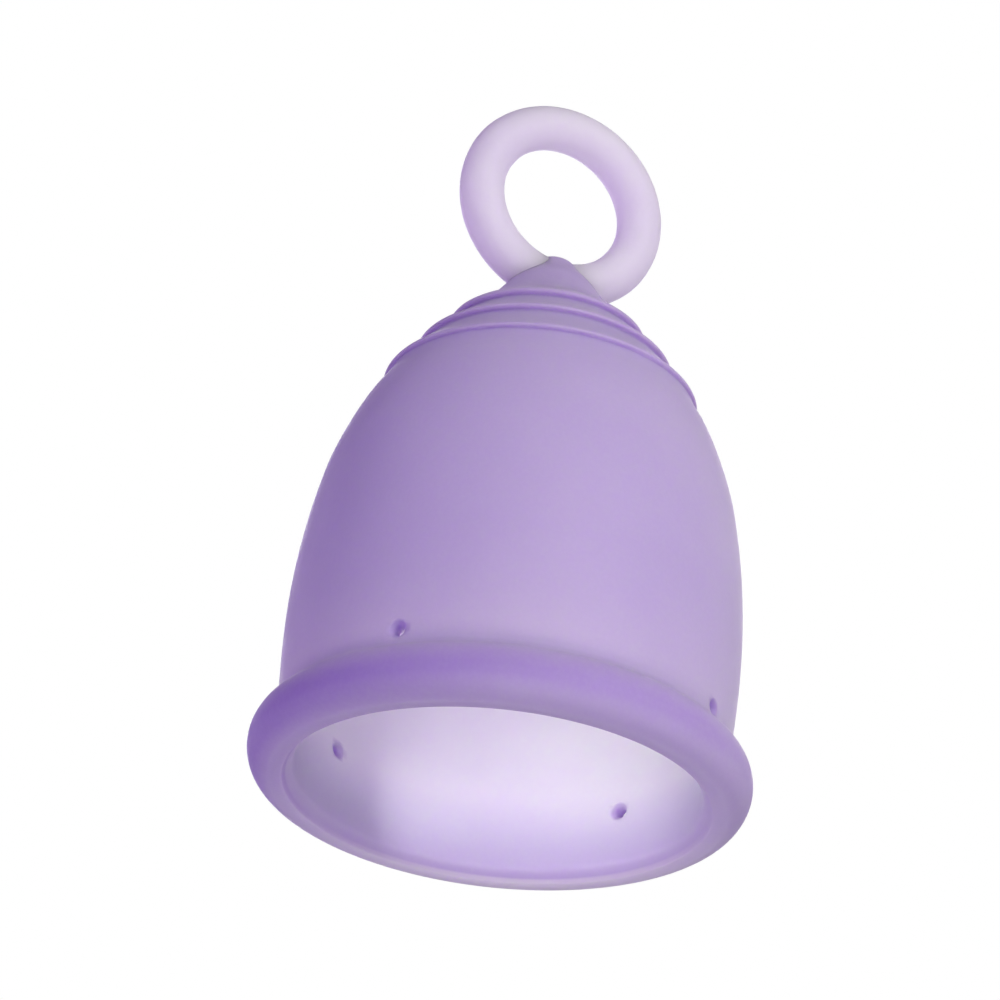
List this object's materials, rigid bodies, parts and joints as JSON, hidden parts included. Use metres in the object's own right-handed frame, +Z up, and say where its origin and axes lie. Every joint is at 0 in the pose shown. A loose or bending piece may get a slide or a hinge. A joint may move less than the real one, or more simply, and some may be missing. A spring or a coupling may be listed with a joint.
{
  "type": "soft cup with ring handle",
  "caption": "Soft bell-shaped menstrual cup, mouth down, with a rolled rim, air holes above the rim, a stepped grip base and a flexible pull ring.",
  "frame": {"origin": "centre of the mouth, on the plane the rim rests on", "axes": "+Z up the cup's axis from the mouth to the ring; the ring lies in the XZ plane and swings about X; +Y is the way through the ring"},
  "size_m": [0.047, 0.047, 0.0737],
  "materials": {
    "rim": "satin translucent elastomer, darkest where it is thickest",
    "wall": "frosted satin translucent elastomer",
    "base": "frosted satin translucent elastomer",
    "lug": "frosted satin translucent elastomer",
    "ring": "frosted satin translucent elastomer, paler than the cup"
  },
  "bodies": {
    "cup": {"rim_bead": "rim", "bell_wall": "wall", "grip_base": "base", "ring_lug": "lug"},
    "ring": {"ring_handle": "ring"}
  },
  "joints": [
    {"name": "ring_flex", "type": "hinge", "parent": "cup", "child": "ring", "pos_m": [0, 0, 0.0546], "axis": [1, 0, 0], "range_deg": [-80, 80], "stiffness_Nm_per_rad": 0.004}
  ]
}
